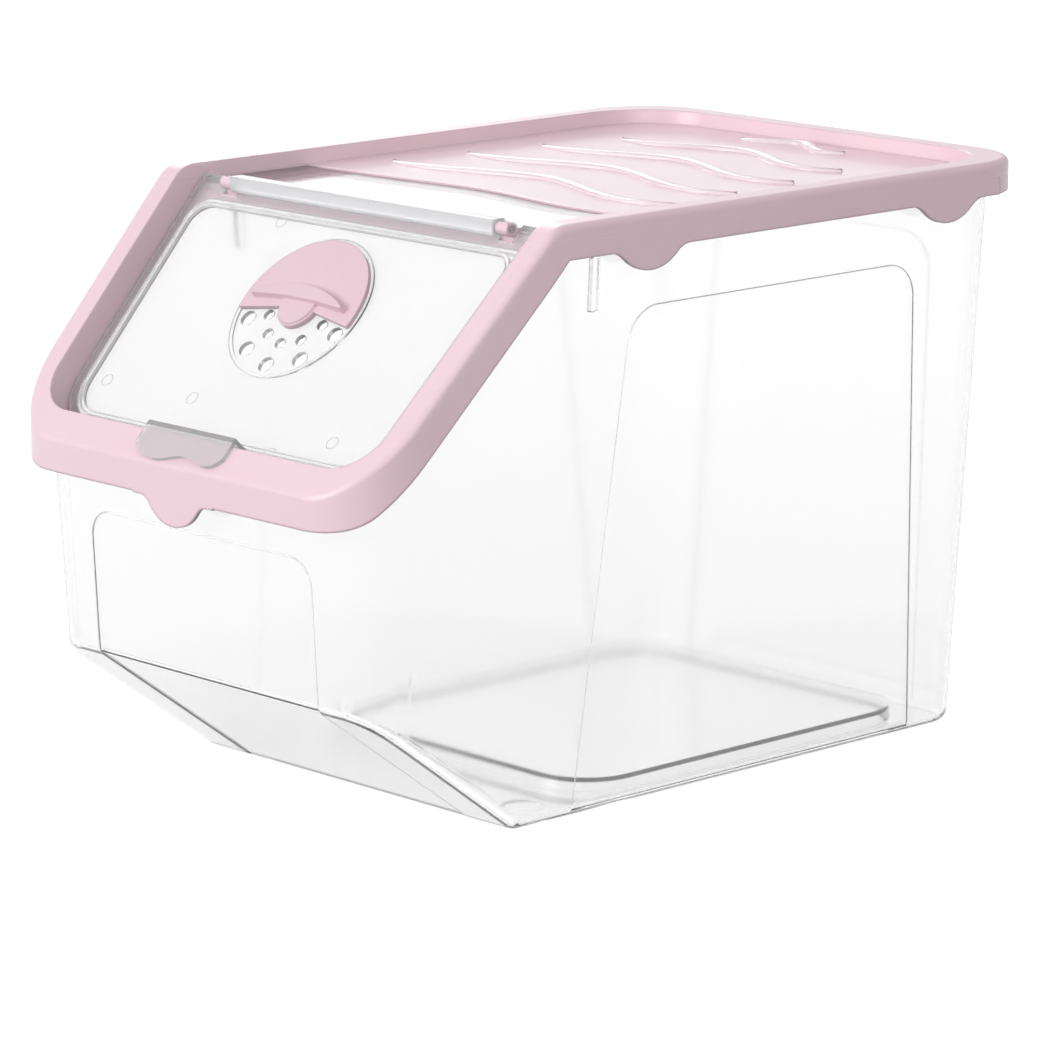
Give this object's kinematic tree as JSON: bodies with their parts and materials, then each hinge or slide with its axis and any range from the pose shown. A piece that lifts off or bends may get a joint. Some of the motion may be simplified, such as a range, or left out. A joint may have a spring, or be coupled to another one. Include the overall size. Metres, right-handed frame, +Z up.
{
  "type": "vegetable storage bin",
  "caption": "Clear drafted storage bin with a lift-off pink lid, a slanted clear flip door on a hinge bar and a turning vent dial.",
  "frame": {"origin": "on the ground under the middle of the bin's bounding box, on its plane of symmetry", "axes": "+Z up, +Y towards the back (the door faces -Y), +X to the right seen from the front"},
  "size_m": [0.225, 0.3588, 0.232],
  "materials": {
    "clear_tub": "clear moulded polypropylene",
    "pink_lid": "pale pink moulded polypropylene, fine satin",
    "clear_window": "clear glossy moulded plastic",
    "clear_door": "clear moulded plastic, slightly hazy",
    "pink_dial": "pale pink moulded polypropylene"
  },
  "bodies": {
    "tub": {"tub": "clear_tub"},
    "lid": {"lid_frame": "pink_lid", "lid_window": "clear_window"},
    "door": {"flip_door": "clear_door"},
    "dial": {"vent_dial": "pink_dial"}
  },
  "joints": [
    {"name": "lid_lift", "type": "slide", "parent": "tub", "child": "lid", "axis": [0, 0, 1], "range_m": [0, 0.12]},
    {"name": "door_hinge", "type": "hinge", "parent": "lid", "child": "door", "pos_m": [0, -0.08285, 0.22696], "axis": [-1, 0, 0], "range_deg": [0, 220]},
    {"name": "vent_turn", "type": "hinge", "parent": "door", "child": "dial", "pos_m": [0, -0.11449, 0.19048], "axis": [0, -0.7148, 0.6994], "range_deg": [0, 180]}
  ]
}
